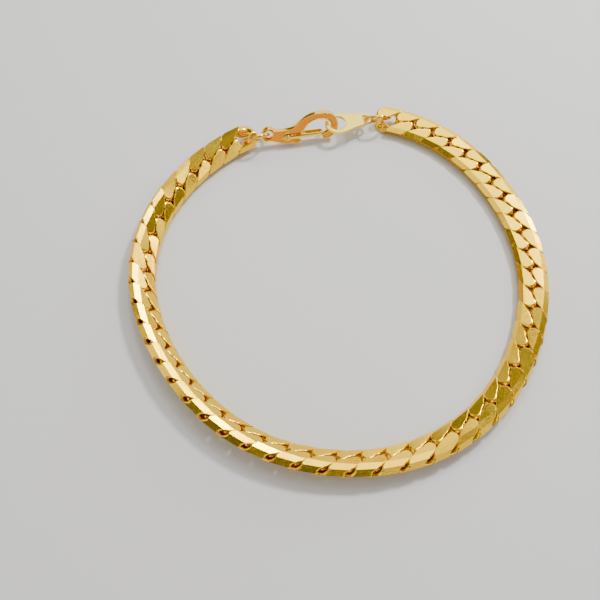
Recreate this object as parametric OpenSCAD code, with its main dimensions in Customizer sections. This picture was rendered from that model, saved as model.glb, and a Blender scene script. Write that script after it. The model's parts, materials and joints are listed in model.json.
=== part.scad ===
// Curb link bracelet with a hook clasp, lying closed on a flat surface.
// The loop is centred on the origin, the surface is z = 0 and the clasp is on the far (+Y) side.

/* [Chain] */
// Number of links in the chain
link_count = 48; // [42:1:54]
// Diameter of the wire that a link is bent from
wire_d = 1.34; // [1.26:0.02:1.38]
// Outer length of a link
link_len = 6.24; // [6.2:0.02:6.4]
// Outer width of a link before it is ground
link_wide = 4.74; // [4.6:0.02:4.9]
// Play between two links along the chain
link_play = 0.26; // [0.2:0.02:0.4]
// Turn of the link's ends out of the chain's plane, in degrees
link_twist = 57; // [52:1:60]
// Width of the ground chain
chain_w = 4.15; // [4:0.05:4.4]
// Thickness of the ground chain
chain_t = 2.1; // [1.9:0.05:2.3]
// Width of the flat ground on each face
flat_w = 2.8; // [2.4:0.05:3.2]
// Depth of the bevel ground along each edge
bevel_drop = 0.5; // [0.3:0.05:0.7]

/* [Lie on the surface] */
// Lean of the chain, its outer edge raised, averaged round the loop
lean_mid = 31.5; // [24:0.5:36]
// Change of the lean from the flattest side to the steepest
lean_swing = 17.5; // [8:0.5:20]
// Direction in plan in which the chain lies flattest
lean_dir = 30; // [0:5:60]
// Direction in plan of the middle of the clasp
clasp_dir = 96; // [90:1:102]

/* [Jump rings] */
// Wire of the two jump rings
ring_wire = 0.56; // [0.5:0.02:0.58]
// Diameter of the jump rings, to the middle of the wire
ring_d = 4.2; // [4.1:0.05:4.4]
// How much of its diameter a ring loses by lying skewed in its two holes
ring_skew = 0.85; // [0.8:0.05:0.95]

/* [Hook] */
// Thickness of the hook's plate
hook_t = 0.9; // [0.8:0.05:1]
// Length from the middle of the eye to the middle of the bend
hook_len = 9.2; // [9:0.1:10]
// Outer diameter of the bend
bend_d = 4.76; // [4.6:0.02:5]
// Width of the bent bar
bar_w = 1.16; // [1:0.02:1.2]
// Outer diameter of the eye
eye_d = 2.4; // [2.3:0.05:2.6]
// Hole in the eye
eye_hole = 1.5; // [1.45:0.05:1.6]
// Angle at which the hook's plate stands from the surface
hook_lean = 70; // [64:1:74]

/* [Gate] */
// Length of the gate from its pin to its tip
gate_len = 6.2; // [6:0.05:6.3]
// Height of the gate's walls
gate_h = 0.6; // [0.5:0.05:0.7]
// Thickness of the gate's sheet
gate_sheet = 0.2; // [0.15:0.01:0.22]
// Diameter of the gate's pin
pin_d = 0.4; // [0.36:0.02:0.44]
// Running clearance round the pin
pin_gap = 0.05; // [0.04:0.01:0.06]

/* [Tag] */
// Thickness of the tag
tag_t = 0.45; // [0.4:0.05:0.5]
// Length between the tag's two holes
tag_len = 4.9; // [4.6:0.05:5.4]
// Hole that the hook passes through
tag_hole = 3; // [2.94:0.02:3.1]
// Hole for the jump ring
tag_small_hole = 1.3; // [1.25:0.05:1.4]
// Width of the metal round the large hole
tag_rim = 0.58; // [0.5:0.02:0.7]
// Width of the metal round the small hole
tag_small_rim = 0.36; // [0.3:0.02:0.45]

/* [Hidden] */
gold = [0.93, 0.72, 0.3];
deep_gold = [0.86, 0.56, 0.2];

// Gap kept between pieces that hang against each other
hang_gap = 0.14;
// Gap between flat faces that slide along each other
slide_gap = 0.06;

// Shape of the link's centreline: squareness, spread of the twist and flattening of the wire
bend_square = 0.7;
twist_spread = 0.6;
wire_flat = 0.2;
stations = 16;
sides = 6;

link_pitch = link_len - 2 * wire_d - link_play;
path_len = link_len - wire_d;
path_wide = link_wide - wire_d;

function sgn_pow(v, power) = sign(v) * pow(abs(v), power);
function unit(v) = v / norm(v);

// Centreline of a link: x outward, y along the chain, z out of the face
function link_path(t) =
    let(across = path_wide / 2 * sgn_pow(sin(t), bend_square))
    let(turn = link_twist * sgn_pow(cos(t), twist_spread))
    [across * cos(turn), path_len / 2 * sgn_pow(cos(t), bend_square), across * sin(turn)];

function link_heading(t) = unit(link_path(t + 0.05) - link_path(t - 0.05));

// Points outside the two faces, the two edges or the four bevels are pressed back onto them
bevel_dir = unit([bevel_drop, 0, (chain_w - flat_w) / 2]);
bevel_reach = bevel_dir * [flat_w / 2, 0, chain_t / 2];
function clamp(v, limit) = max(-limit, min(limit, v));
function ground_bevel(p, sx, sz) =
    let(n = [sx * bevel_dir[0], 0, sz * bevel_dir[2]])
    p - n * max(0, p * n - bevel_reach);
function ground(p) =
    let(face = [p[0], p[1], clamp(p[2], chain_t / 2)])
    let(outer = ground_bevel(ground_bevel(face, 1, 1), 1, -1))
    let(inner = ground_bevel(ground_bevel(outer, -1, 1), -1, -1))
    [clamp(inner[0], chain_w / 2), inner[1], inner[2]];

function link_ring(t) =
    let(ahead = link_heading(t))
    let(side = unit(cross(ahead, [0, 0, 1])))
    let(rise = cross(side, ahead))
    let(spread = 1 + wire_flat * pow(sin(2 * t), 2))
    [for (k = [0 : sides - 1])
        let(a = 360 * k / sides)
        ground(link_path(t) + wire_d / 2 * (spread * cos(a) * side + sin(a) * rise))];

link_points = [for (i = [0 : stations - 1]) each link_ring(360 * i / stations)];
link_faces = [for (i = [0 : stations - 1], k = [0 : sides - 1])
    let(a = i * sides + k)
    let(b = i * sides + (k + 1) % sides)
    let(c = ((i + 1) % stations) * sides + (k + 1) % sides)
    let(d = ((i + 1) % stations) * sides + k)
    each [[a, b, c], [a, c, d]]];

// Distance from the middle of an end link to the ring's wire that hugs its bow
hole_reach = path_len / 2 - wire_d / 2 - ring_wire / 2 - hang_gap;

// Places along the clasp, from the wire in one end link to the wire in the other
ring_r = ring_d / 2;
ring_span = ring_d - ring_skew;
eye_at = ring_span + (eye_hole - ring_wire) / 2 - hang_gap;
bend_at = eye_at + hook_len;
bend_in = bend_d / 2 - bar_w;
bar_span = (hook_t / sin(hook_lean) + tag_t / tan(hook_lean)) / 2;
tag_at = bend_at + bend_in + sqrt(pow(tag_hole / 2 - 2 * hang_gap, 2) - pow(bar_span, 2));
small_at = tag_at + tag_len;
tag_ring_at = small_at + (tag_small_hole - ring_wire) / 2 - hang_gap + ring_span / 2;
clasp_run = tag_ring_at + ring_span / 2;

// Plan of the loop: a circle with slight bulges. Each row holds the number of bulges
// and their cosine and sine shares of the mean radius.
BULGES = [[2, -0.008, -0.001], [3, -0.0135, 0.0055], [4, 0.001, -0.005], [6, 0.003, 0]];
function plan_share(a) = 1 + [for (row = BULGES) row[1] * cos(row[0] * a) + row[2] * sin(row[0] * a)]
    * [for (row = BULGES) 1];
function plan_point(a) = plan_share(a) * [cos(a), sin(a)];

// Length along the plan of a loop of mean radius 1, against the angle
plan_step = 2;
PLAN = [for (d = 0, a = 0; a <= 360; d = d + norm(plan_point(a + plan_step) - plan_point(a)), a = a + plan_step)
    [d, a]];
plan_len = PLAN[len(PLAN) - 1][0];

// Mean radius at which the chain and the clasp's chord just close the loop
chain_run = (link_count - 1) * link_pitch + 2 * hole_reach;
function clasp_arc(r) = 2 * r * asin(clasp_run / 2 / r) * PI / 180;
function closed_radius(r, turns) =
    turns == 0 ? r : closed_radius((chain_run + clasp_arc(r)) / plan_len, turns - 1);
loop_r = closed_radius((chain_run + clasp_run) / plan_len, 5);

// Places on the loop by their length along it, from the direction of the X axis
PLAN_BY_ANGLE = [for (row = PLAN) [row[1], row[0]]];
clasp_mid = lookup(clasp_dir, PLAN_BY_ANGLE) * loop_r;
function wrapped(d) = d - floor(d / (plan_len * loop_r)) * plan_len * loop_r;
function angle_at(d) = lookup(wrapped(d) / loop_r, PLAN);
function plan_heading(a) =
    let(v = plan_point(a + 0.5) - plan_point(a - 0.5))
    atan2(v[1], v[0]);

function lean_at(a) = lean_mid - lean_swing * cos(a - lean_dir);
function rest_height(a) =
    let(lean = lean_at(a))
    max(flat_w / 2 * sin(lean) + chain_t / 2 * cos(lean),
        chain_w / 2 * sin(lean) + (chain_t / 2 - bevel_drop) * cos(lean));

// Directions in plan between which the chain leaves room for the clasp
first_angle = angle_at(clasp_mid - clasp_arc(loop_r) / 2);
last_angle = angle_at(clasp_mid + clasp_arc(loop_r) / 2);

// Middle of the chain's outline, which is set on the origin
function outer_point(a) =
    let(p = plan_point(a) * loop_r)
    let(h = plan_heading(a) - 90)
    p + chain_w / 2 * cos(lean_at(a)) * [cos(h), sin(h)];
rim = [for (a = [last_angle : plan_step : first_angle + 360]) outer_point(a)];
rim_x = [for (p = rim) p[0]];
rim_y = [for (p = rim) p[1]];
centre = [max(rim_x) + min(rim_x), max(rim_y) + min(rim_y)] / 2;
function loop_point(a) = let(p = plan_point(a) * loop_r - centre) [p[0], p[1], rest_height(a)];

// The clasp lies along the chord between the wires in the two end links
chord_from = loop_point(last_angle);
chord_to = loop_point(first_angle);
chord = chord_to - chord_from;
clasp_heading = atan2(chord[1], chord[0]);
function chord_place(d) = d * norm([chord[0], chord[1]]) / clasp_run;

// Hook: drop of its eye, the gate's tip short of the bend's middle, drop of the pin, and the
// height of the bend's middle above the surface and its place out of the chord
eye_drop = 0.45;
eye_place = [-hook_len, -eye_drop];
tip_short = 0.1;
pin_drop = 1.15;
pin_place = [-gate_len - tip_short, -pin_drop];
bend_up = 2.72;
bend_out = -0.35;
// Angles between which the bend's outer and inner edges run
bend_outer = [98, -78];
bend_inner = [-70, 96];

// Edges of the hook's plate, as shares of its length and of the bend's outer radius
BACK_EDGE = [[-1, 0.28], [-0.84, 0.05], [-0.65, 0.04], [-0.545, 0.125], [-0.466, 0.366], [-0.35, 0.72],
    [-0.222, 0.93], [-0.11, 1]];
TIP_EDGE = [[0.07, -0.98], [0.007, -0.97], [-0.03, -0.85], [-0.04, -0.69], [0.02, -0.53]];
THROAT_EDGE = [[-0.1, 0.55], [-0.212, 0.454], [-0.288, 0.21], [-0.348, -0.085], [-0.397, -0.295],
    [-0.46, -0.46], [-0.6, -0.5]];
LIP_EDGE = [[-0.6, -0.72], [-0.486, -0.7], [-0.44, -0.78], [-0.42, -0.9], [-0.467, -1.02], [-0.55, -1.06],
    [-0.73, -0.94], [-0.86, -0.81]];

// Gate: half width over its walls, knuckles, where its walls run into them, and its floor
gate_half = hook_t / 2 + slide_gap + gate_sheet;
knuckle_d = 0.96;
root_half = 0.4 * knuckle_d;
recess_depth = 0.15;
knuckle_from = hook_t / 2 - recess_depth + slide_gap;
pin_proud = 0.05;
pin_len = 2 * (gate_half + pin_proud);
gate_under = 0.33;
floor_at = gate_len * 0.54;

// How the rings lie: out of the chord, above the surface, lean and turn
hook_ring_lie = [-0.58, 2.02, -52, 8.4];
tag_ring_lie = [0.177, 2.013, -54.1, -5.2];
// How far along the chord each ring lies from the middle of its span
ring_shift = 0.025;

// How the tag lies on the hook
tag_lift = -0.12;
tag_out = bend_out + tag_lift / tan(hook_lean);
tag_slope = 5;
tag_turn = 7.5;

module links() {
    for (i = [0 : link_count - 1]) {
        a = angle_at(clasp_mid - clasp_arc(loop_r) / 2 - hole_reach - i * link_pitch);
        translate(loop_point(a))
            rotate([0, 0, plan_heading(a) - 90])
                rotate([0, -lean_at(a), 0])
                    polyhedron(link_points, link_faces);
    }
}

module curb_chain() {
    color(gold)
        links();
}

// Frame of the clasp: X along the chord, Y outward, Z up
module on_chord(d, out, up) {
    translate([chord_from[0], chord_from[1], 0])
        rotate([0, 0, clasp_heading])
            translate([chord_place(d), out, up])
                children();
}

// A jump ring that leans about the chord and turns about the upright
module jump_ring(lean, turn) {
    rotate([0, 0, turn])
        rotate([lean, 0, 0])
            rotate_extrude($fn = 48)
                translate([ring_r, 0])
                    circle(d = ring_wire, $fn = 20);
}

module hook_ring() {
    color(deep_gold)
        on_chord(ring_span / 2 + ring_shift, hook_ring_lie[0], hook_ring_lie[1])
            jump_ring(hook_ring_lie[2], hook_ring_lie[3]);
}

module tag_ring() {
    color(gold)
        on_chord(tag_ring_at + ring_shift, tag_ring_lie[0], tag_ring_lie[1])
            jump_ring(tag_ring_lie[2], tag_ring_lie[3]);
}

// Frame of the hook's plate: X along it, Y up the plate, Z out of its front, on the bend's middle
module on_hook() {
    on_chord(bend_at, bend_out, bend_up)
        rotate([hook_lean, 0, 0])
            children();
}

// A round stretch of an outline
function arc(r, from, to, steps) =
    [for (i = [0 : steps]) let(a = from + (to - from) * i / steps) r * [cos(a), sin(a)]];

// A smooth curve through a row of points
function curve_at(p, i, t) =
    let(a = p[max(i - 1, 0)])
    let(b = p[i])
    let(c = p[i + 1])
    let(d = p[min(i + 2, len(p) - 1)])
    ((2 * b) + (c - a) * t + (2 * a - 5 * b + 4 * c - d) * t * t + (3 * b - a - 3 * c + d) * t * t * t) / 2;
function curve(p, steps) =
    [for (i = [0 : len(p) - 2], k = [0 : steps - 1]) curve_at(p, i, k / steps), p[len(p) - 1]];
function on_plate(rows) = [for (row = rows) [row[0] * hook_len, row[1] * bend_d / 2]];

module hook_outline() {
    translate(eye_place)
        circle(d = eye_d, $fn = 48);
    polygon(concat(
        curve(on_plate(BACK_EDGE), 4),
        arc(bend_d / 2, bend_outer[0], bend_outer[1], 22),
        curve(on_plate(TIP_EDGE), 3),
        arc(bend_in, bend_inner[0], bend_inner[1], 16),
        curve(on_plate(THROAT_EDGE), 4),
        curve(on_plate(LIP_EDGE), 4),
        [eye_place - [0, eye_d / 2]]));
}

module clasp_hook() {
    color(deep_gold)
        on_hook() {
            difference() {
                translate([0, 0, -hook_t / 2])
                    linear_extrude(hook_t)
                        hook_outline();
                translate([eye_place[0], eye_place[1], -hook_t])
                    cylinder(h = 2 * hook_t, d = eye_hole, $fn = 48);
                for (face = [0, 180])
                    rotate([face, 0, 0])
                        translate([pin_place[0], face == 0 ? pin_place[1] : -pin_place[1], hook_t / 2 - recess_depth])
                            cylinder(h = hook_t, d = knuckle_d + 2 * hang_gap, $fn = 48);
            }
            translate([pin_place[0], pin_place[1], -pin_len / 2])
                cylinder(h = pin_len, d = pin_d, $fn = 32);
        }
}

// Frame of the gate: the hook's frame moved to the pin
module on_pin() {
    on_hook()
        translate([pin_place[0], pin_place[1], 0])
            children();
}

// Side view of the gate in front of its pin, up to the lifted tip
module gate_side() {
    polygon([
        [0, root_half], [knuckle_d, gate_h - gate_under], [gate_len, gate_h - gate_under],
        [gate_len, gate_h / 2 - gate_under], [gate_len - gate_h / 2, -gate_under],
        [knuckle_d, -gate_under], [0, -root_half]]);
}

// Plan of the trough: two long sides joined by a round end
module trough(half, back) {
    translate([back, -half])
        square([gate_len - gate_half - back, 2 * half]);
    translate([gate_len - gate_half, 0])
        circle(r = half, $fn = 40);
}

module gate_walls() {
    intersection() {
        translate([0, 0, -gate_half])
            linear_extrude(2 * gate_half)
                gate_side();
        rotate([90, 0, 0])
            translate([0, 0, -gate_len])
                linear_extrude(2 * gate_len)
                    difference() {
                        trough(gate_half, 0);
                        trough(gate_half - gate_sheet, -knuckle_d);
                    }
    }
}

module gate_floor() {
    rotate([90, 0, 0])
        translate([0, 0, gate_under - gate_sheet])
            linear_extrude(gate_sheet)
                trough(gate_half - gate_sheet / 2, floor_at);
}

module clasp_gate() {
    color(gold)
        on_pin()
            difference() {
                union() {
                    gate_walls();
                    intersection() {
                        gate_floor();
                        translate([0, 0, -gate_half])
                            linear_extrude(2 * gate_half)
                                gate_side();
                    }
                    for (side = [-1, 1])
                        translate([0, 0, side * (knuckle_from + gate_half) / 2])
                            cylinder(h = gate_half - knuckle_from, d = knuckle_d, center = true, $fn = 40);
                }
                cylinder(h = 4 * gate_half, d = pin_d + 2 * pin_gap, center = true, $fn = 32);
            }
}

// Outline between two circles on the X axis, along their common tangents
module strap(r1, r2, length) {
    b = acos((r1 - r2) / length);
    circle(r = r1, $fn = 64);
    translate([length, 0])
        circle(r = r2, $fn = 48);
    polygon([
        r1 * [cos(b), sin(b)], r1 * [cos(b), -sin(b)],
        [length + r2 * cos(b), -r2 * sin(b)], [length + r2 * cos(b), r2 * sin(b)]]);
}

module tag_plate() {
    color(gold)
        on_chord(tag_at, tag_out, bend_up + tag_lift)
            rotate([0, tag_slope, tag_turn])
                difference() {
                    translate([0, 0, -tag_t / 2])
                        linear_extrude(tag_t)
                            strap(tag_hole / 2 + tag_rim, tag_small_hole / 2 + tag_small_rim, tag_len);
                    cylinder(h = 4 * tag_t, d = tag_hole, center = true, $fn = 64);
                    translate([tag_len, 0, 0])
                        cylinder(h = 4 * tag_t, d = tag_small_hole, center = true, $fn = 40);
                }
}

curb_chain();
hook_ring();
tag_ring();
clasp_hook();
clasp_gate();
tag_plate();
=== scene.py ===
"""Looks of a link bracelet with a hook clasp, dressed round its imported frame."""

import json
import logging
import math
from dataclasses import dataclass, field
from enum import Enum
from typing import ClassVar

import bmesh
import bpy
from mathutils import Matrix, Vector

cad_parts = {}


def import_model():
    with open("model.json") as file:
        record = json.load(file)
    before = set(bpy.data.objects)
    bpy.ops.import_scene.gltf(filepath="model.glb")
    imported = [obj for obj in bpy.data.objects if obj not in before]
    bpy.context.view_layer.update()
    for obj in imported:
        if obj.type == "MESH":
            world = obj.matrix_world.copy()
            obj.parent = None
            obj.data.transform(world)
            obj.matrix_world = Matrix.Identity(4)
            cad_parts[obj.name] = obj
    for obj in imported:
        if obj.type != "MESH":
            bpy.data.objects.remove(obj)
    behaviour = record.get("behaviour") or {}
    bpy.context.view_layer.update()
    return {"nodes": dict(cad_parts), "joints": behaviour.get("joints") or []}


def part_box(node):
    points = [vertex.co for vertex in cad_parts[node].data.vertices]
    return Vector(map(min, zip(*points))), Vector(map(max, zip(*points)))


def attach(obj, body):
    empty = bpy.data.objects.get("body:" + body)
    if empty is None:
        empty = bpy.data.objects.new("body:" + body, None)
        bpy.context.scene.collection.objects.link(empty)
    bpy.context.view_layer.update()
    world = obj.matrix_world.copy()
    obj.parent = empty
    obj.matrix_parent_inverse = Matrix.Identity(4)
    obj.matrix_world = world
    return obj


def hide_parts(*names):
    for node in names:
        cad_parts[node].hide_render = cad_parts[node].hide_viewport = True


MM = 0.001
Colour = tuple[float, float, float]
Plane = tuple[Vector, float]
log = logging.getLogger("bracelet")


class Slot(Enum):
    """Finishes that the record names."""

    CHAIN = "chain_gold"
    RING = "ring_gold"
    HOOK = "hook_gold"
    GATE = "gate_gold"
    TAG = "tag_gold"


class Body(Enum):
    """Bodies that pieces ride on."""

    BRACELET = "bracelet"
    GATE = "gate"


class Kind(Enum):
    """Kinds of named inputs that a tree can have."""

    NUMBER = "NodeSocketFloat"
    WHOLE = "NodeSocketInt"
    PIECE = "NodeSocketObject"
    METAL = "NodeSocketMaterial"


def signed_power(value: float, power: float) -> float:
    """Raise the size of a number to a power and keep its sign."""
    return math.copysign(abs(value) ** power, value)


def show(name: str, mesh: bpy.types.Mesh) -> bpy.types.Object:
    """Put a mesh into the scene as an object at the origin.

    Args:
        name: Name of the object and its mesh.
        mesh: Mesh in the row frame, in metres.

    Returns:
        The new object.
    """
    mesh.name = name
    piece = bpy.data.objects.new(name, mesh)
    bpy.context.scene.collection.objects.link(piece)
    return piece


def add_node(tree: bpy.types.NodeTree, kind: str,
             inputs: dict[str | int, object] | None = None,
             **settings: object) -> bpy.types.Node:
    """Add a node to a tree, set it up and feed it.

    Args:
        tree: Tree that gets the node.
        kind: Type of the node.
        inputs: Sockets to link from, or plain values.
        **settings: Properties of the node.

    Returns:
        The node.
    """
    node = tree.nodes.new(kind)
    for key, value in settings.items():
        setattr(node, key, value)
    for key, value in (inputs or {}).items():
        if isinstance(value, bpy.types.NodeSocket):
            tree.links.new(value, node.inputs[key])
        else:
            node.inputs[key].default_value = value
    return node


@dataclass(frozen=True)
class Gold:
    """Polished or satin yellow metal with fine marks.

    Attributes:
        name: Name of the material.
        light: Colour of the metal.
        deep: Colour towards which it drifts in patches and, on a pressed piece, the colour of the
            painted shade in the pressed part.
        roughness: Least roughness of the polish.
        haze: Added roughness where the polish is worn.
        scratch: Depth of the hairlines as a share of the bump.
        grain: Depth of the fine pitting as a share of the bump.
        tone_and_shade_share: Part of the drift that the attribute tone decides, which holds
            random tone on the chain's links and painted shade in a pressed part.
        patch_share: Part of it that the patches decide where there is that attribute.
        patch: Width of a patch of another tone, in metres.
        spots: Number of worn spots in the width of a patch.
        worn: Noise at which wear begins, and at which it is full.
        marks: Number of fine marks in a metre.
        hairs: Directions of the two sets of hairlines, in radians.
        stretch: Width of a hairline as a share of its length.
        relief: Strength of the bump.
        relief_depth: Depth of the bump, in metres.
    """

    PATCH_DETAIL: ClassVar[float] = 3.0
    WEAR_DETAIL: ClassVar[float] = 6.0
    MARK_DETAIL: ClassVar[float] = 2.0

    name: str
    light: Colour
    deep: Colour
    roughness: float = 0.12
    haze: float = 0.12
    scratch: float = 0.25
    grain: float = 0.1
    tone_and_shade_share: float = 0.6
    patch_share: float = 0.25
    patch: float = 0.0025
    spots: float = 8.0
    worn: tuple[float, float] = (0.35, 0.75)
    marks: float = 14000.0
    hairs: tuple[float, float] = (0.5, 2.1)
    stretch: float = 0.04
    relief: float = 0.28
    relief_depth: float = 0.00002

    def build(self, with_tone_and_shade: bool = False) -> bpy.types.Material:
        """Make the material.

        Args:
            with_tone_and_shade: Whether the piece carries the attribute tone: random tone on the
                chain's links, painted shade in a pressed part.

        Returns:
            The new material.
        """
        material = bpy.data.materials.new(self.name)
        material.use_nodes = True
        tree = material.node_tree
        shader = tree.nodes["Principled BSDF"]
        shader.inputs["Metallic"].default_value = 1.0
        place = add_node(tree, "ShaderNodeTexCoord").outputs["Object"]
        colour = add_node(tree, "ShaderNodeMix", {
            "A": (*self.light, 1.0), "B": (*self.deep, 1.0),
            "Factor": self._drift(tree, place, with_tone_and_shade)}, data_type="RGBA")
        bump = add_node(tree, "ShaderNodeBump", {
            "Strength": self.relief, "Distance": self.relief_depth,
            "Height": self._marks(tree, place)})
        tree.links.new(colour.outputs["Result"], shader.inputs["Base Color"])
        tree.links.new(self._wear(tree, place), shader.inputs["Roughness"])
        tree.links.new(bump.outputs["Normal"], shader.inputs["Normal"])
        return material

    def _drift(self, tree: bpy.types.NodeTree, place: bpy.types.NodeSocket,
               with_tone_and_shade: bool) -> bpy.types.NodeSocket:
        """Add the drift from the light colour to the deep one.

        Args:
            tree: Tree of the material.
            place: Coordinates that the patches follow.
            with_tone_and_shade: Whether the piece carries the attribute tone: random tone on the
                chain's links, painted shade in a pressed part.

        Returns:
            The drift, from 0 to 1.
        """
        patches = add_node(tree, "ShaderNodeTexNoise", {
            "Vector": place, "Scale": 1.0 / self.patch, "Detail": self.PATCH_DETAIL})
        if not with_tone_and_shade:
            return patches.outputs["Fac"]
        # The attribute read here is random tone on the chain's links and painted shade in a
        # pressed part.
        tone = add_node(tree, "ShaderNodeAttribute", attribute_name="tone")
        rest = add_node(tree, "ShaderNodeMath", {
            0: patches.outputs["Fac"], 1: self.patch_share}, operation="MULTIPLY")
        return add_node(tree, "ShaderNodeMath", {
            0: tone.outputs["Fac"], 1: self.tone_and_shade_share, 2: rest.outputs[0]},
            operation="MULTIPLY_ADD").outputs[0]

    def _wear(self, tree: bpy.types.NodeTree,
              place: bpy.types.NodeSocket) -> bpy.types.NodeSocket:
        """Add the roughness, which rises in worn spots.

        Args:
            tree: Tree of the material.
            place: Coordinates that the spots follow.

        Returns:
            The roughness.
        """
        noise = add_node(tree, "ShaderNodeTexNoise", {
            "Vector": place, "Scale": self.spots / self.patch, "Detail": self.WEAR_DETAIL})
        return add_node(tree, "ShaderNodeMapRange", {
            "Value": noise.outputs["Fac"], "From Min": self.worn[0], "From Max": self.worn[1],
            "To Min": self.roughness,
            "To Max": self.roughness + self.haze}).outputs["Result"]

    def _marks(self, tree: bpy.types.NodeTree,
               place: bpy.types.NodeSocket) -> bpy.types.NodeSocket:
        """Add hairlines in two directions and fine pitting.

        Args:
            tree: Tree of the material.
            place: Coordinates that the marks follow.

        Returns:
            The height of the marks.
        """
        total = 0.0
        hairlines = [(turn, self.stretch, self.scratch) for turn in self.hairs]
        for turn, stretch, share in (*hairlines, (0.0, 1.0, self.grain)):
            mapping = add_node(tree, "ShaderNodeMapping", {
                "Vector": place, "Rotation": (0.0, 0.0, turn), "Scale": (1.0, stretch, 1.0)})
            noise = add_node(tree, "ShaderNodeTexNoise", {
                "Vector": mapping.outputs["Vector"], "Scale": self.marks,
                "Detail": self.MARK_DETAIL})
            total = add_node(tree, "ShaderNodeMath", {
                0: noise.outputs["Fac"], 1: share, 2: total},
                operation="MULTIPLY_ADD").outputs[0]
        return total


CHAIN_FINISH = Gold("Ground_gold", light=(1.0, 0.67, 0.03), deep=(0.99, 0.55, 0.015),
                    roughness=0.1, haze=0.16, scratch=0.5, grain=0.12)
RING_FINISH = Gold("Wire_gold", light=(1.0, 0.64, 0.08), deep=(0.98, 0.54, 0.05),
                   roughness=0.1, haze=0.08)
# The hook's deep colour is painted shade, laid mostly on its pressed part.
HOOK_FINISH = Gold("Pressed_gold", light=(1.0, 0.6, 0.06), deep=(0.82, 0.25, 0.008),
                   roughness=0.1, haze=0.08, scratch=0.2, tone_and_shade_share=0.8)
GATE_FINISH = Gold("Sheet_gold", light=(1.0, 0.72, 0.13), deep=(1.0, 0.65, 0.09), haze=0.1)
TAG_FINISH = Gold("Satin_gold", light=(1.0, 0.8, 0.14), deep=(1.0, 0.73, 0.1),
                  roughness=0.3, scratch=0.4, grain=0.2)


class Tree:
    """A Geometry Nodes tree with named inputs, built line by line."""

    def __init__(self, name: str) -> None:
        """Start an empty tree.

        Args:
            name: Name of the tree.
        """
        self.group = bpy.data.node_groups.new(name, "GeometryNodeTree")
        self.values: dict[str, object] = {}
        for way in ("INPUT", "OUTPUT"):
            self.group.interface.new_socket(
                name="Geometry", in_out=way, socket_type="NodeSocketGeometry")
        self.inlet = self.group.nodes.new("NodeGroupInput")
        self.outlet = self.group.nodes.new("NodeGroupOutput")

    def size(self, name: str, kind: Kind, value: object) -> None:
        """Add a named input and the value that the piece gives it."""
        self.group.interface.new_socket(name=name, in_out="INPUT", socket_type=kind.value)
        self.values[name] = value

    def add(self, kind: str, inputs: dict[str | int, object] | None = None,
            **settings: object) -> bpy.types.Node:
        """Add a node, set it up and feed it.

        Args:
            kind: Type of the node.
            inputs: Sockets to link from, names of tree inputs, or plain values.
            **settings: Properties of the node.

        Returns:
            The node.
        """
        feeds = {}
        for key, value in (inputs or {}).items():
            named = isinstance(value, str) and value in self.values
            feeds[key] = self.inlet.outputs[value] if named else value
        return add_node(self.group, kind, feeds, **settings)

    def finish(self, geometry: bpy.types.NodeSocket) -> None:
        """End the tree in Realize Instances and Set Material.

        Args:
            geometry: Geometry that the tree has made.
        """
        real = self.add("GeometryNodeRealizeInstances", {"Geometry": geometry})
        dressed = self.add("GeometryNodeSetMaterial",
                           {"Geometry": real.outputs[0], "Material": "Finish"})
        self.group.links.new(dressed.outputs[0], self.outlet.inputs[0])

    def make(self, name: str, base: bpy.types.Mesh) -> bpy.types.Object:
        """Run the tree on a mesh and keep the result as a plain mesh.

        Args:
            name: Name of the piece.
            base: Mesh that the tree starts from.

        Returns:
            The piece, with no modifier.
        """
        holder = show(name + "_base", base)
        modifier = holder.modifiers.new(name, "NODES")
        modifier.node_group = self.group
        for item in self.group.interface.items_tree:
            if item.in_out == "INPUT" and item.name in self.values:
                modifier[item.identifier] = self.values[item.name]
        graph = bpy.context.evaluated_depsgraph_get()
        mesh = bpy.data.meshes.new_from_object(
            holder.evaluated_get(graph), preserve_all_data_layers=True, depsgraph=graph)
        holder.modifiers.remove(modifier)
        bpy.data.objects.remove(holder)
        return show(name, mesh)


@dataclass
class Loop:
    """Plan in which the chain lies, and how it leans there. Millimetres and degrees.

    Attributes:
        radius: Mean radius of the plan.
        centre: Middle of the bracelet's outline, seen from the plan's own middle.
        opening: Angles at which the chain starts and ends.
        lean_mid: Mean lean of the chain.
        lean_swing: Difference between the mean lean and the least or most.
        lean_dir: Direction in which the chain leans least.
        bulges: Order, cosine share and sine share of each bulge on the circle.
    """

    radius: float = 28.978
    centre: tuple[float, float] = (-0.1204, -0.5883)
    opening: tuple[float, float] = (120.328, 432.112)
    lean_mid: float = 31.5
    lean_swing: float = 17.5
    lean_dir: float = 30.0
    bulges: tuple[tuple[int, float, float], ...] = (
        (2, -0.008, -0.001), (3, -0.0135, 0.0055), (4, 0.001, -0.005), (6, 0.003, 0.0))

    def point(self, angle: float) -> Vector:
        """Find the chain's middle in plan.

        Args:
            angle: Angle in the plan, in degrees.

        Returns:
            The place, in millimetres.
        """
        turn = math.radians(angle)
        share = 1.0 + sum(
            a * math.cos(k * turn) + b * math.sin(k * turn) for k, a, b in self.bulges)
        return Vector((share * self.radius * math.cos(turn) - self.centre[0],
                       share * self.radius * math.sin(turn) - self.centre[1], 0.0))

    def lean(self, angle: float) -> float:
        """Lean of the chain at an angle, in radians."""
        return math.radians(
            self.lean_mid - self.lean_swing * math.cos(math.radians(angle - self.lean_dir)))


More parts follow.
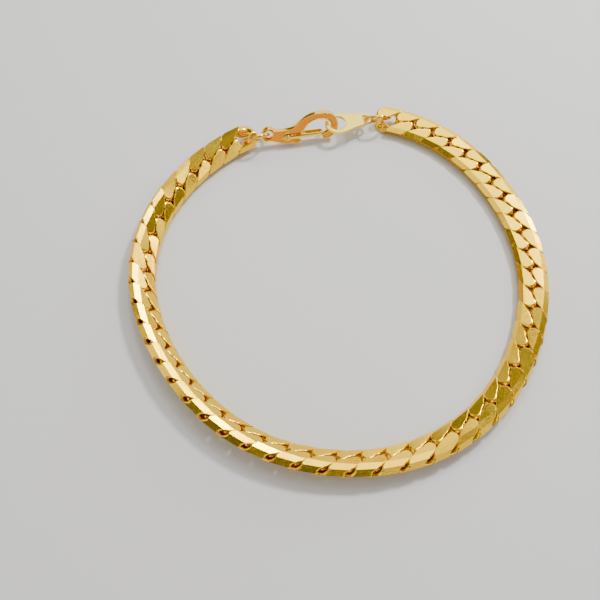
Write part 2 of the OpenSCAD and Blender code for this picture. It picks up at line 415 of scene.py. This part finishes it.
@dataclass
class CurbChain:
    """Ground curb chain, one link laid again and again along the loop. Millimetres.

    The loop is drawn in TRACK_STEPS pieces and a link's middle line in WIRE_STEPS. A vertex
    within ON_PLANE of a grinding plane is on it, and two planes whose normals have a dot
    product over SAME_WAY are one.

    Attributes:
        loop: Line that the chain follows.
        count: Number of links.
        pitch: Distance from link to link.
        reach: Distance from the start of the loop to the first link's middle.
        width: Width between the ground sides.
        thickness: Thickness between the ground faces.
        flat: Width of the ground faces.
        bevel: Drop of the bevels beside them.
        wire: Thickness of the wire before it is ground.
        path_length: Length of the wire's middle line.
        path_width: Width of that line.
        twist: Turn of either end of the link, in degrees.
        squareness: Power of the line's curve: 1 is an ellipse, and less is squarer.
        twist_spread: Power that spreads the twist from the ends to the middle.
        flattening: Share by which the wire is wider between the ends and the sides.
        edge_swell: Share by which the wire is higher at the sides.
        swell_power: Power that keeps that swell to the sides.
        stations: Sections along a link's wire.
        sides: Vertices of a section.
        merge: Distance under which vertices near a rim are welded.
        rims: Width and drop of each band of a rounded rim.
        tilt: Most that a link rolls out of line, in degrees.
        seed: Seed of the links' roll and tone.
    """

    TRACK_STEPS: ClassVar[int] = 1200
    WIRE_STEPS: ClassVar[int] = 2880
    ON_PLANE: ClassVar[float] = 1e-5
    SAME_WAY: ClassVar[float] = 0.9999

    loop: Loop = field(default_factory=Loop)
    count: int = 48
    pitch: float = 3.3
    reach: float = 1.36
    width: float = 4.15
    thickness: float = 2.1
    flat: float = 2.8
    bevel: float = 0.5
    wire: float = 1.55
    path_length: float = 5.1
    path_width: float = 3.55
    twist: float = 55.0
    squareness: float = 0.67
    twist_spread: float = 0.385
    flattening: float = 0.39
    edge_swell: float = 0.6
    swell_power: int = 6
    stations: int = 52
    sides: int = 14
    merge: float = 0.045
    rims: tuple[tuple[float, float], ...] = ((0.06, 0.05), (0.065, 0.016))
    tilt: float = 3.0
    seed: int = 4

    def build(self, finish: Gold) -> bpy.types.Object:
        """Make the whole chain.

        Args:
            finish: Finish of the links.

        Returns:
            The chain as one piece.
        """
        link = show("Link", self._link())
        tree = Tree("Chain_along_loop")
        for name, kind, value in (
                ("Link", Kind.PIECE, link), ("Count", Kind.WHOLE, self.count),
                ("Pitch", Kind.NUMBER, self.pitch * MM),
                ("First", Kind.NUMBER, self.reach * MM),
                ("Tilt", Kind.NUMBER, math.radians(self.tilt)),
                ("Seed", Kind.WHOLE, self.seed),
                ("Finish", Kind.METAL, finish.build(with_tone_and_shade=True))):
            tree.size(name, kind, value)
        place = self._places(tree)
        points = tree.add("GeometryNodePoints",
                          {"Count": "Count", "Position": place.outputs["Position"]})
        info = tree.add("GeometryNodeObjectInfo", {"Object": "Link"})
        laid = tree.add("GeometryNodeInstanceOnPoints", {
            "Points": points.outputs[0], "Instance": info.outputs["Geometry"],
            "Rotation": self._turns(tree, place)})
        tone = tree.add("FunctionNodeRandomValue", {"Seed": "Seed"}, data_type="FLOAT")
        named = tree.add("GeometryNodeStoreNamedAttribute", {
            "Geometry": laid.outputs[0], "Name": "tone", "Value": self._float(tone)},
            data_type="FLOAT", domain="INSTANCE")
        tree.finish(named.outputs[0])
        chain = tree.make("Chain", self._track())
        bpy.data.objects.remove(link)
        return chain

    @staticmethod
    def _places(tree: Tree) -> bpy.types.Node:
        """Find each link's place along the track.

        Args:
            tree: Tree of the chain.

        Returns:
            The node that gives the place, the heading and the lean.
        """
        track = tree.add("GeometryNodeMeshToCurve", {"Mesh": tree.inlet.outputs["Geometry"]})
        number = tree.add("GeometryNodeInputIndex")
        step = tree.add("ShaderNodeMath", {0: number.outputs[0], 1: "Pitch", 2: "First"},
                        operation="MULTIPLY_ADD")
        lean = tree.add("GeometryNodeInputNamedAttribute", {"Name": "lean"}, data_type="FLOAT")
        return tree.add("GeometryNodeSampleCurve", {
            "Curves": track.outputs[0], "Value": lean.outputs["Attribute"],
            "Length": step.outputs[0]}, mode="LENGTH", data_type="FLOAT", use_all_curves=True)

    def _turns(self, tree: Tree, place: bpy.types.Node) -> bpy.types.NodeSocket:
        """Turn each link along the track, lean it and roll it a little out of line.

        Args:
            tree: Tree of the chain.
            place: Node that gives the heading and the lean.

        Returns:
            The links' rotation.
        """
        ahead = tree.add("ShaderNodeVectorMath",
                         {0: place.outputs["Tangent"], 1: (1.0, 1.0, 0.0)}, operation="MULTIPLY")
        heading = tree.add("FunctionNodeAlignRotationToVector",
                           {"Vector": ahead.outputs[0]}, axis="Y", pivot_axis="Z")
        least = tree.add("ShaderNodeMath", {0: "Tilt", 1: -1.0}, operation="MULTIPLY")
        stray = tree.add("FunctionNodeRandomValue", {
            "Min": least.outputs[0], "Max": "Tilt", "Seed": "Seed"}, data_type="FLOAT")
        roll = tree.add("ShaderNodeMath", {0: self._float(stray), 1: place.outputs["Value"]},
                        operation="SUBTRACT")
        leaned = tree.add("FunctionNodeAxisAngleToRotation",
                          {"Axis": (0.0, 1.0, 0.0), "Angle": roll.outputs[0]})
        return tree.add("FunctionNodeRotateRotation", {
            "Rotation": heading.outputs[0], "Rotate By": leaned.outputs[0]},
            rotation_space="LOCAL").outputs[0]

    @staticmethod
    def _float(node: bpy.types.Node) -> bpy.types.NodeSocket:
        """Find the plain number among a random node's outputs."""
        return next(s for s in node.outputs if s.enabled and s.type == "VALUE")

    def _track(self) -> bpy.types.Mesh:
        """Make the line that the links follow.

        Returns:
            The line, which carries the chain's lean as an attribute.
        """
        low, high = self.loop.opening
        steps = self.TRACK_STEPS
        angles = [low + (high - low) * i / steps for i in range(steps + 1)]
        points = [self.loop.point(a) for a in angles]
        for point, angle in zip(points, angles):
            point.z = self._rest_height(self.loop.lean(angle))
        mesh = bpy.data.meshes.new("Track")
        mesh.from_pydata([p * MM for p in points], [(i, i + 1) for i in range(steps)], [])
        lean = mesh.attributes.new("lean", "FLOAT", "POINT")
        lean.data.foreach_set("value", [self.loop.lean(a) for a in angles])
        return mesh

    def _rest_height(self, lean: float) -> float:
        """Height of a leaning link's middle when its lowest edge lies on the surface."""
        return max(
            self.flat / 2 * math.sin(lean) + self.thickness / 2 * math.cos(lean),
            self.width / 2 * math.sin(lean)
            + (self.thickness / 2 - self.bevel) * math.cos(lean))

    def _path(self, turn: float) -> Vector:
        """Find a point on the middle line of a link's wire.

        Args:
            turn: How far round the link the point lies, in radians.

        Returns:
            The point: x outward, y along the chain, z out of the face.
        """
        c, s = math.cos(turn), math.sin(turn)
        across = self.path_width / 2 * signed_power(s, self.squareness)
        twist = math.radians(self.twist) * signed_power(c, self.twist_spread)
        return Vector((across * math.cos(twist),
                       self.path_length / 2 * signed_power(c, self.squareness),
                       across * math.sin(twist)))

    def _even_turns(self) -> list[float]:
        """Spread the stations evenly along the wire.

        Returns:
            How far round the link each station lies, in radians.
        """
        fine = self.WIRE_STEPS
        turns = [2 * math.pi * i / fine for i in range(fine + 1)]
        points = [self._path(t) for t in turns]
        run = [0.0]
        for a, b in zip(points, points[1:]):
            run.append(run[-1] + (b - a).length)
        found, at = [], 0
        for i in range(self.stations):
            goal = run[-1] * i / self.stations
            while run[at + 1] < goal:
                at += 1
            part = (turns[at + 1] - turns[at]) * (goal - run[at])
            found.append(turns[at] + part / (run[at + 1] - run[at]))
        return found

    def _link(self) -> bpy.types.Mesh:
        """Bend a link, grind its faces flat and round the rims of the flats.

        Returns:
            The link, round the origin and in metres.
        """
        work = bmesh.new()
        self._bend(work)
        ground = work.faces.layers.int.new("ground_face")
        planes = self._grinding()
        for number, (normal, reach) in enumerate(planes, 1):
            for face in self._grind(work, normal, reach):
                face[ground] = number
        flats = {f: planes[f[ground] - 1] for f in work.faces if f[ground]}
        self._clear_rims(work, flats)
        for face in work.faces:
            face.smooth = face not in flats
        for width, drop in self.rims:
            self._band(work, flats, width, drop)
        work.transform(Matrix.Scale(MM, 4))
        mesh = bpy.data.meshes.new("Link")
        work.to_mesh(mesh)
        work.free()
        return mesh

    def _bend(self, work: bmesh.types.BMesh) -> None:
        """Lay the round wire along a link's middle line.

        Args:
            work: Mesh that gets the wire.
        """
        points = [self._path(t) for t in self._even_turns()]
        rings = []
        for i, point in enumerate(points):
            ahead = (points[(i + 1) % len(points)] - points[i - 1]).normalized()
            side = ahead.cross(Vector((0, 0, 1))).normalized()
            rise = side.cross(ahead)
            turn = math.atan2(point.x, point.y)
            spread = 1 + self.flattening * math.sin(2 * turn) ** 2
            swell = 1 + self.edge_swell * math.sin(turn) ** self.swell_power
            rings.append([
                work.verts.new(point + self.wire / 2 * (
                    spread * math.cos(a) * side + swell * math.sin(a) * rise))
                for a in (2 * math.pi * k / self.sides for k in range(self.sides))])
        for i, ring in enumerate(rings):
            after = rings[(i + 1) % len(rings)]
            for k in range(self.sides):
                m = (k + 1) % self.sides
                work.faces.new((ring[k], ring[m], after[m], after[k]))
        bmesh.ops.recalc_face_normals(work, faces=work.faces)

    def _clear_rims(self, work: bmesh.types.BMesh,
                    flats: dict[bmesh.types.BMFace, Plane]) -> None:
        """Weld vertices that stand too close on or beside the rims of the flats.

        Args:
            work: Link under work.
            flats: Ground faces and their planes.
        """
        rims = [v for v in work.verts if any(f in flats for f in v.link_faces)
                and any(f not in flats for f in v.link_faces)]
        corners = [v for v in rims if sum(f in flats for f in v.link_faces) > 1]
        close = bmesh.ops.find_doubles(
            work, verts=rims, keep_verts=corners, dist=self.merge)["targetmap"]
        bmesh.ops.weld_verts(work, targetmap=close)
        close = {}
        for edge in work.edges:
            on = [any(f in flats for f in v.link_faces) for v in edge.verts]
            if on[0] != on[1] and edge.calc_length() < self.merge:
                loose, kept = edge.verts if on[1] else reversed(edge.verts)
                close.setdefault(loose, kept)
        bmesh.ops.weld_verts(work, targetmap=close)

    def _band(self, work: bmesh.types.BMesh, flats: dict[bmesh.types.BMFace, Plane],
              width: float, drop: float) -> None:
        """Add a band round the flats that falls away, and keep their creases crisp.

        Args:
            work: Link under work.
            flats: Ground faces and their planes.
            width: Width of the band.
            drop: How far its outer edge falls.
        """
        work.normal_update()
        band = bmesh.ops.inset_region(
            work, faces=list(flats), thickness=width, use_even_offset=True)["faces"]
        for vert in {v: None for f in flats for v in f.verts}:
            self._settle(vert, [flats[f] for f in vert.link_faces if f in flats])
        outer = {v: None for f in band for v in f.verts
                 if not any(g in flats for g in v.link_faces)}
        work.normal_update()
        falls = [(v, sum((f.normal for f in v.link_faces if f in band), Vector()))
                 for v in outer]
        for vert, up in falls:
            vert.co -= up.normalized() * drop
        for face in band:
            face.smooth = True

    def _settle(self, vert: bmesh.types.BMVert, planes: list[Plane]) -> None:
        """Move a vertex onto its plane, or onto the crease of its two planes.

        Args:
            vert: Vertex of a flat.
            planes: Planes of the flats that meet there.
        """
        (first, reach), (other, far) = planes[0], planes[-1]
        off, past = vert.co.dot(first) - reach, vert.co.dot(other) - far
        slant = first.dot(other)
        if slant > self.SAME_WAY:
            vert.co -= off * first
            return
        share = 1 - slant * slant
        vert.co -= (off - slant * past) / share * first + (past - slant * off) / share * other

    def _grinding(self) -> list[Plane]:
        """List the planes that a link is ground to.

        Returns:
            The outward normal and the reach of each plane.
        """
        planes = []
        slope = Vector((self.bevel, 0.0, (self.width - self.flat) / 2)).normalized()
        reach = slope.x * self.flat / 2 + slope.z * self.thickness / 2
        for up in (1, -1):
            planes.append((Vector((0, 0, up)), self.thickness / 2))
            for out in (1, -1):
                planes.append((Vector((out * slope.x, 0, up * slope.z)), reach))
        planes += [(Vector((out, 0, 0)), self.width / 2) for out in (1, -1)]
        return planes

    def _grind(self, work: bmesh.types.BMesh, normal: Vector,
               reach: float) -> list[bmesh.types.BMFace]:
        """Cut off what stands past a plane and close the cuts.

        Args:
            work: Link under work.
            normal: Outward normal of the plane.
            reach: Distance of the plane from the link's middle.

        Returns:
            The faces that close the cuts.
        """
        cut = bmesh.ops.bisect_plane(
            work, geom=[*work.verts, *work.edges, *work.faces], dist=self.ON_PLANE,
            plane_co=normal * reach, plane_no=normal, clear_outer=True)["geom_cut"]
        edges = [e for e in cut if isinstance(e, bmesh.types.BMEdge) and e.is_boundary]
        faces = bmesh.ops.holes_fill(work, edges=edges, sides=0)["faces"]
        for face in faces:
            face.normal_update()
            if face.normal.dot(normal) < 0:
                face.normal_flip()
        return faces


@dataclass
class JumpRing:
    """A ring of round wire with a fine cut. Millimetres and degrees.

    Attributes:
        name: Name of the piece.
        node: Solid that it stands for.
        lean: Lean of the ring from lying flat.
        turn: Heading of the ring, from that of the clasp.
        cut_at: Where round the ring the cut is.
        heading: Heading of the clasp.
        diameter: Diameter of the wire's middle line.
        wire: Thickness of the wire.
        cut: Width of the cut.
        steps: Points along the wire.
        sides: Points round the wire.
    """

    name: str
    node: str
    lean: float
    turn: float
    cut_at: float
    heading: float = 8.1236
    diameter: float = 4.2
    wire: float = 0.56
    cut: float = 0.03
    steps: int = 97
    sides: int = 24

    def build(self, finish: Gold) -> bpy.types.Object:
        """Make the ring where its solid lies.

        Args:
            finish: Finish of the wire.

        Returns:
            The ring.
        """
        low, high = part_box(self.node)
        lie = (Matrix.Rotation(math.radians(self.heading + self.turn), 4, "Z")
               @ Matrix.Rotation(math.radians(self.lean), 4, "X"))
        gap = self.cut / (self.diameter / 2)
        tree = Tree(self.name + "_wire")
        for name, kind, value in (
                ("Radius", Kind.NUMBER, self.diameter / 2 * MM),
                ("Wire", Kind.NUMBER, self.wire / 2 * MM),
                ("Start", Kind.NUMBER, math.radians(self.cut_at) + gap / 2),
                ("Sweep", Kind.NUMBER, 2 * math.pi - gap),
                ("Steps", Kind.WHOLE, self.steps), ("Sides", Kind.WHOLE, self.sides),
                ("Finish", Kind.METAL, finish.build())):
            tree.size(name, kind, value)
        arc = tree.add("GeometryNodeCurveArc", {
            "Resolution": "Steps", "Radius": "Radius", "Start Angle": "Start",
            "Sweep Angle": "Sweep"}, mode="RADIUS")
        section = tree.add("GeometryNodeCurvePrimitiveCircle",
                           {"Resolution": "Sides", "Radius": "Wire"}, mode="RADIUS")
        tube = tree.add("GeometryNodeCurveToMesh", {
            "Curve": arc.outputs["Curve"], "Profile Curve": section.outputs["Curve"],
            "Fill Caps": True})
        tree.finish(tube.outputs[0])
        ring = tree.make(self.name, bpy.data.meshes.new(self.name))
        ring.data.transform(Matrix.Translation((low + high) / 2) @ lie)
        for polygon in ring.data.polygons:
            polygon.use_smooth = len(polygon.vertices) == 4
        ring.data.update()
        return ring


@dataclass
class Stamping:
    """A piece of sheet that keeps its solid's shape and gets rounded edges. Millimetres.

    The solid comes as loose triangles. Corners within MERGE are joined, and faces that turn
    less than STRAIGHT degrees are one face again. Edges over SHARP degrees are rounded. A
    corner under SPLINTER_ANGLE degrees with a side under SPLINTER is a splinter. Faces over
    LEAST_AREA whose normal has a dot product over FACING with the front are pressed in, and
    each of PRESS_STEPS takes a share of the press's width and of its depth. Faces whose
    normal has one under LEVEL with the plate's are shaded smooth, and edges of CREASE
    degrees or more stay crisp.

    Attributes:
        name: Name of the piece.
        node: Solid that it is made from.
        rounding: Width of the rounding on sharp edges.
        press_width: Width of the flat rim and the slopes round the pressed part.
        press_depth: Depth of that part, or 0 for a plain piece.
        segments: Facets of the rounding.
    """

    MERGE: ClassVar[float] = 0.002
    STRAIGHT: ClassVar[float] = 1.5
    SHARP: ClassVar[float] = 35.0
    SPLINTER_ANGLE: ClassVar[float] = 10.0
    SPLINTER: ClassVar[float] = 0.2
    FACING: ClassVar[float] = 0.999
    LEAST_AREA: ClassVar[float] = 0.2
    PRESS_STEPS: ClassVar[tuple[tuple[float, float], ...]] = ((0.4, 0.0), (0.4, 0.8), (0.2, 0.2))
    LEVEL: ClassVar[float] = 0.9995
    CREASE: ClassVar[float] = 48.0

    name: str
    node: str
    rounding: float
    press_width: float = 0.0
    press_depth: float = 0.0
    segments: int = 3

    def build(self, finish: Gold, nodes: dict[str, bpy.types.Object],
              front: Vector) -> bpy.types.Object:
        """Make the piece from a merged copy of its solid.

        Args:
            finish: Finish of the metal.
            nodes: Solids by name.
            front: Outward normal of the face that is pressed in.

        Returns:
            The piece.
        """
        work = bmesh.new()
        work.from_mesh(nodes[self.node].data)
        work.transform(Matrix.Scale(1 / MM, 4))
        bmesh.ops.remove_doubles(work, verts=work.verts, dist=self.MERGE)
        bmesh.ops.dissolve_limit(work, angle_limit=math.radians(self.STRAIGHT),
                                 verts=work.verts, edges=work.edges)
        self._trim(work)
        sharp = [e for e in work.edges if len(e.link_faces) == 2
                 and e.calc_face_angle(0.0) > math.radians(self.SHARP)]
        bmesh.ops.bevel(work, geom=sharp, offset=self.rounding, segments=self.segments,
                        profile=0.5, affect="EDGES", clamp_overlap=True)
        if self.press_depth:
            self._press(work, front)
        self._shade(work)
        work.transform(Matrix.Scale(MM, 4))
        mesh = bpy.data.meshes.new(self.name)
        work.to_mesh(mesh)
        work.free()
        # A pressed piece carries painted shade in its pressed part.
        mesh.materials.append(finish.build(with_tone_and_shade=bool(self.press_depth)))
        return show(self.name, mesh)

    def _trim(self, work: bmesh.types.BMesh) -> None:
        """Weld away splinters of the outline, which would hold back all the rounding.

        Args:
            work: Piece under work.
        """
        close = {}
        for corner in (c for f in work.faces for c in f.loops
                       if c.calc_angle() < math.radians(self.SPLINTER_ANGLE)
                       and all(e.calc_face_angle(0.0) > math.radians(self.SHARP)
                               for e in (c.edge, c.link_loop_prev.edge))):
            near = min((corner.link_loop_prev.vert, corner.link_loop_next.vert),
                       key=lambda v: (v.co - corner.vert.co).length)
            if (near.co - corner.vert.co).length < self.SPLINTER and near not in close:
                close.setdefault(corner.vert, near)
        bmesh.ops.weld_verts(work, targetmap=close)

    def _press(self, work: bmesh.types.BMesh, front: Vector) -> None:
        """Press the middle of the front face in, leave a flat rim and mark the pressed part for
        painted shade.

        Args:
            work: Piece under work.
            front: Outward normal of the front face.
        """
        # The pressed faces get painted shade: the finish turns them towards its deep colour.
        tone = work.faces.layers.float.new("tone")
        faces = [f for f in work.faces
                 if f.normal.dot(front) > self.FACING and f.calc_area() > self.LEAST_AREA]
        for wide, deep in self.PRESS_STEPS:
            bmesh.ops.inset_region(work, faces=faces, thickness=self.press_width * wide,
                                   depth=-self.press_depth * deep, use_even_offset=False)
        for face in faces:
            face[tone] = 1.0

    def _shade(self, work: bmesh.types.BMesh) -> None:
        """Shade the plate's two faces flat and the rest smooth, with crisp creases.

        Args:
            work: Piece under work.
        """
        plate = max(work.faces, key=lambda f: f.calc_area()).normal.copy()
        for face in work.faces:
            face.smooth = abs(face.normal.dot(plate)) < self.LEVEL
        for edge in work.edges:
            edge.smooth = edge.calc_face_angle(0.0) < math.radians(self.CREASE)


@dataclass(frozen=True)
class Lamp:
    """One square light that faces the bracelet.

    Attributes:
        name: Name of the light.
        place: Where it hangs, in metres.
        side: Side of the square, in metres.
        power: Power, in watts.
    """

    name: str
    place: tuple[float, float, float]
    side: float
    power: float

    def hang(self) -> None:
        """Put the light into the scene."""
        light = bpy.data.lights.new(self.name, "AREA")
        light.size, light.energy = self.side, self.power
        holder = bpy.data.objects.new(self.name, light)
        place = Vector(self.place)
        holder.location = place
        holder.rotation_euler = (-place).to_track_quat("-Z", "Y").to_euler()
        bpy.context.scene.collection.objects.link(holder)


# Most of these stand where a group of ground faces reflects them into the camera.
LAMPS = (
    Lamp("Key", (0.17, 0.17, 0.29), 0.05, 1.05),
    Lamp("Overhead", (0.04, 0.13, 0.34), 0.22, 0.38),
    Lamp("Side", (0.32, 0.22, 0.12), 0.22, 0.22),
    Lamp("Glint_right", (0.31, 0.226, 0.12), 0.06, 0.22),
    Lamp("Glint_left", (0.014, 0.19, 0.31), 0.05, 0.18),
    Lamp("Low_back", (0.08, 0.33, 0.09), 0.26, 0.36),
    Lamp("Left", (-0.33, -0.02, 0.13), 0.2, 0.16),
    Lamp("Front", (-0.08, -0.3, 0.2), 0.2, 0.2),
    Lamp("Front_right", (0.24, -0.04, 0.24), 0.08, 0.06),
    Lamp("Box", (-0.17, 0.16, 0.27), 0.26, 0.1),
)


@dataclass
class Studio:
    """Pale floor, soft light and the camera. Metres and degrees.

    Attributes:
        floor: Side of the floor.
        floor_colour: Colour of the floor.
        floor_roughness: Roughness of the floor.
        eye: Place of the camera.
        down: How far it looks down.
        roll: How far it is rolled.
        lens: Focal length, in millimetres.
        sensor: Width of its sensor, in millimetres.
        clip: Least distance that it sees.
        low_sky: Colour of the room at the horizon and below.
        high_sky: Colour of the room overhead.
        glow: Strength of the room's light.
        lamps: Lights, in the order in which they are hung.
    """

    floor: float = 4.0
    floor_colour: Colour = (0.74, 0.73, 0.71)
    floor_roughness: float = 0.75
    eye: tuple[float, float, float] = (-0.00586, -0.04948, 0.08968)
    down: float = 63.15
    roll: float = -1.02
    lens: float = 40.8
    sensor: float = 36.0
    clip: float = 0.001
    low_sky: Colour = (0.2, 0.19, 0.18)
    high_sky: Colour = (0.85, 0.85, 0.85)
    glow: float = 0.48
    lamps: tuple[Lamp, ...] = LAMPS

    def build(self) -> None:
        """Set up the whole studio."""
        self._camera()
        self._floor()
        self._world()
        for lamp in self.lamps:
            lamp.hang()

    def _camera(self) -> None:
        """Place the camera at the picture's angle."""
        camera = bpy.data.objects.new("Camera", bpy.data.cameras.new("Camera"))
        camera.data.lens, camera.data.sensor_width = self.lens, self.sensor
        camera.data.clip_start = self.clip
        down, roll = math.radians(self.down), math.radians(self.roll)
        right = Vector((1, 0, 0))
        ahead = Vector((0, math.cos(down), -math.sin(down)))
        up = Vector((0, math.sin(down), math.cos(down)))
        x = math.cos(roll) * right + math.sin(roll) * up
        y = -math.sin(roll) * right + math.cos(roll) * up
        turn = Matrix((x, y, -ahead)).transposed().to_4x4()
        camera.matrix_world = Matrix.Translation(self.eye) @ turn
        bpy.context.scene.collection.objects.link(camera)
        bpy.context.scene.camera = camera

    def _floor(self) -> None:
        """Lay the pale floor."""
        half = self.floor / 2
        mesh = bpy.data.meshes.new("Floor")
        mesh.from_pydata([(-half, -half, 0), (half, -half, 0), (half, half, 0), (-half, half, 0)],
                         [], [(0, 1, 2, 3)])
        floor = show("Floor", mesh)
        material = bpy.data.materials.new("Floor")
        material.use_nodes = True
        shader = material.node_tree.nodes["Principled BSDF"]
        shader.inputs["Base Color"].default_value = (*self.floor_colour, 1.0)
        shader.inputs["Roughness"].default_value = self.floor_roughness
        mesh.materials.append(material)

    def _world(self) -> None:
        """Light the room softly, darker towards the horizon."""
        world = bpy.data.worlds.new("Room")
        bpy.context.scene.world = world
        world.use_nodes = True
        tree = world.node_tree
        place = add_node(tree, "ShaderNodeTexCoord")
        parts = add_node(tree, "ShaderNodeSeparateXYZ", {0: place.outputs["Generated"]})
        ramp = add_node(tree, "ShaderNodeValToRGB", {"Fac": parts.outputs["Z"]})
        ramp.color_ramp.elements[0].color = (*self.low_sky, 1.0)
        ramp.color_ramp.elements[1].color = (*self.high_sky, 1.0)
        room = tree.nodes["Background"]
        tree.links.new(ramp.outputs["Color"], room.inputs["Color"])
        room.inputs["Strength"].default_value = self.glow


def seat(piece: bpy.types.Object, body: Body, node: str) -> None:
    """Tie a piece to its body, hide the solid that it stands for, and report it.

    Args:
        piece: Finished piece.
        body: Body that it rides on.
        node: Solid that it stands for.
    """
    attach(piece, body.value)
    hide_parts(node)
    triangles = sum(len(p.vertices) - 2 for p in piece.data.polygons)
    log.info("%s: %d triangles, rides on %s", piece.name, triangles, body.value)


def main() -> None:
    """Build the bracelet's pieces in order."""
    logging.basicConfig(level=logging.INFO, format="%(message)s")
    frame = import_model()
    Studio().build()
    # The gate's pin runs square through the hook, so its axis is the hook's front.
    front = Vector(frame["joints"][0]["axis"])
    nodes = frame["nodes"]
    seat(CurbChain().build(CHAIN_FINISH), Body.BRACELET, "curb_chain")
    for ring in (JumpRing("Hook_ring", "hook_ring", lean=-52.0, turn=8.4, cut_at=250.0),
                 JumpRing("Tag_ring", "tag_ring", lean=-54.1, turn=-5.2, cut_at=290.0)):
        seat(ring.build(RING_FINISH), Body.BRACELET, ring.node)
    hook = Stamping("Hook", "clasp_hook", rounding=0.09, press_width=0.17, press_depth=0.12)
    gate = Stamping("Gate", "clasp_gate", rounding=0.04, segments=2)
    tag = Stamping("Tag", "tag_plate", rounding=0.08)
    for part, finish, body, slot in (
            (hook, HOOK_FINISH, Body.BRACELET, Slot.HOOK),
            (gate, GATE_FINISH, Body.GATE, Slot.GATE),
            (tag, TAG_FINISH, Body.BRACELET, Slot.TAG)):
        seat(part.build(finish, nodes, front), body, part.node)


if __name__ == "__main__":
    main()
